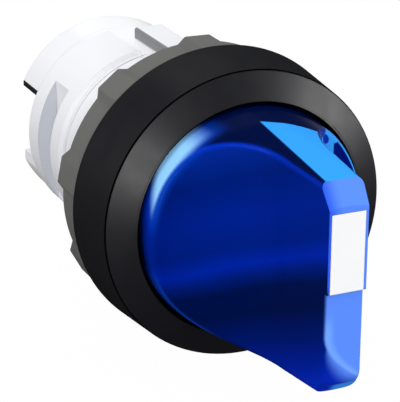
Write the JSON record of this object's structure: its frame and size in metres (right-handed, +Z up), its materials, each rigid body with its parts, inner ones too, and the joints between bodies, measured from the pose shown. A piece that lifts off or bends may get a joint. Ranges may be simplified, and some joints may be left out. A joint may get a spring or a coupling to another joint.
{
  "type": "selector switch",
  "caption": "Panel selector switch head: blue grip knob with white marker, black bezel, rubber gasket and white plastic body; turning the knob pushes two rear plungers.",
  "frame": {"origin": "on the switch axis, in the plane of the panel seat (the gasket's rear face)", "axes": "+Y along the switch axis towards the contacts behind the panel, -Y towards the user, +Z up towards the key, +X to the right seen from the front"},
  "size_m": [0.0308, 0.057, 0.0308],
  "materials": {
    "housing_plastic": "satin",
    "cap_plastic": "satin",
    "bezel_plastic": "satin",
    "gasket_rubber": "matte",
    "knob_plastic": "glossy",
    "marker_plastic": "satin",
    "clear_plastic": "glossy",
    "inner_plastic": "satin",
    "cam_plastic": "satin",
    "washer_plastic": "matte",
    "spring_steel": "polished",
    "pin_steel": "satin",
    "seal_rubber": "matte"
  },
  "bodies": {
    "operator": {"housing": "housing_plastic", "bezel_ring": "bezel_plastic", "panel_gasket": "gasket_rubber", "knob_seal": "seal_rubber", "stop_pin": "pin_steel", "rear_cap": "cap_plastic", "thrust_washer": "washer_plastic", "cup_spring": "spring_steel", "detent_spring_left": "spring_steel", "detent_spring_right": "spring_steel", "plunger_spring_left": "spring_steel", "plunger_spring_right": "spring_steel"},
    "handle": {"knob": "knob_plastic", "marker_insert": "marker_plastic", "light_guide": "clear_plastic", "rotor": "inner_plastic", "cam_sleeve": "cam_plastic", "retaining_ring": "spring_steel", "shaft_seal": "seal_rubber"},
    "plunger_left": {"plunger_left": "cam_plastic"},
    "plunger_right": {"plunger_right": "cam_plastic"}
  },
  "joints": [
    {"name": "knob_turn", "type": "hinge", "parent": "operator", "child": "handle", "pos_m": [0, 0, 0], "axis": [0, 1, 0], "range_deg": [0, 60], "deforming": ["detent_spring_left", "detent_spring_right"]},
    {"name": "plunger_left_slide", "type": "slide", "parent": "operator", "child": "plunger_left", "axis": [0, 1, 0], "range_m": [0, 0.0026], "deforming": ["plunger_spring_left"]},
    {"name": "plunger_right_slide", "type": "slide", "parent": "operator", "child": "plunger_right", "axis": [0, 1, 0], "range_m": [0, 0.0026], "deforming": ["plunger_spring_right"]}
  ],
  "couplings": [
    {"joint": "plunger_left_slide", "follows": "knob_turn", "m_per_rad": 0.0024828},
    {"joint": "plunger_right_slide", "follows": "knob_turn", "m_per_rad": 0.0024828}
  ]
}
